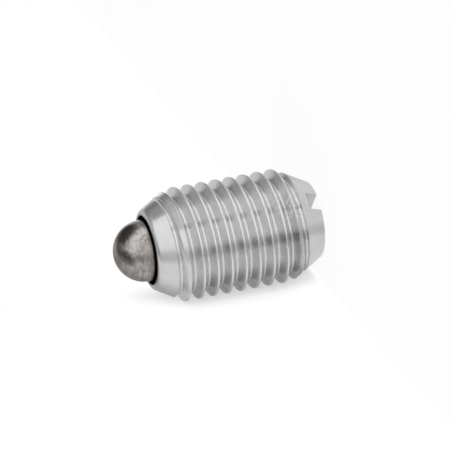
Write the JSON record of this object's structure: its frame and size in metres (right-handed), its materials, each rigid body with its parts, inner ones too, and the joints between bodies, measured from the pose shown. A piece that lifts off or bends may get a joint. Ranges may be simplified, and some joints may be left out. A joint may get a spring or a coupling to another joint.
{
  "type": "spring plunger",
  "caption": "Threaded spring plunger: a sprung bolt with a round nose in a threaded body with coned ends and a screwdriver slot, for indexing, holding or ejecting a part.",
  "frame": {"origin": "centre of the slotted rear face", "axes": "+Z along the axis towards the nose; the screwdriver slot runs along Y"},
  "size_m": [0.0156, 0.0156, 0.0286],
  "materials": {
    "body_steel": "bright turned stainless steel, bead-dull on the flanks and polished on the crests",
    "bolt_steel": "hardened and ground steel, grey-brown, with fine rings round the axis",
    "spring_steel": "drawn spring wire with ground ends"
  },
  "bodies": {
    "threaded_body": {"threaded_body": "body_steel"},
    "spring": {"spring": "spring_steel"},
    "bolt": {"bolt": "bolt_steel"}
  },
  "joints": [
    {"name": "bolt_turn", "type": "hinge", "parent": "threaded_body", "child": "spring", "pos_m": [0, 0, 0.0063], "axis": [0, 0, 1], "continuous": true},
    {"name": "bolt_slide", "type": "slide", "parent": "spring", "child": "bolt", "axis": [0, 0, -1], "range_m": [0, 0.0046], "stiffness_N_per_m": 11500, "springref_m": -0.00391, "deforming": ["spring"]}
  ]
}
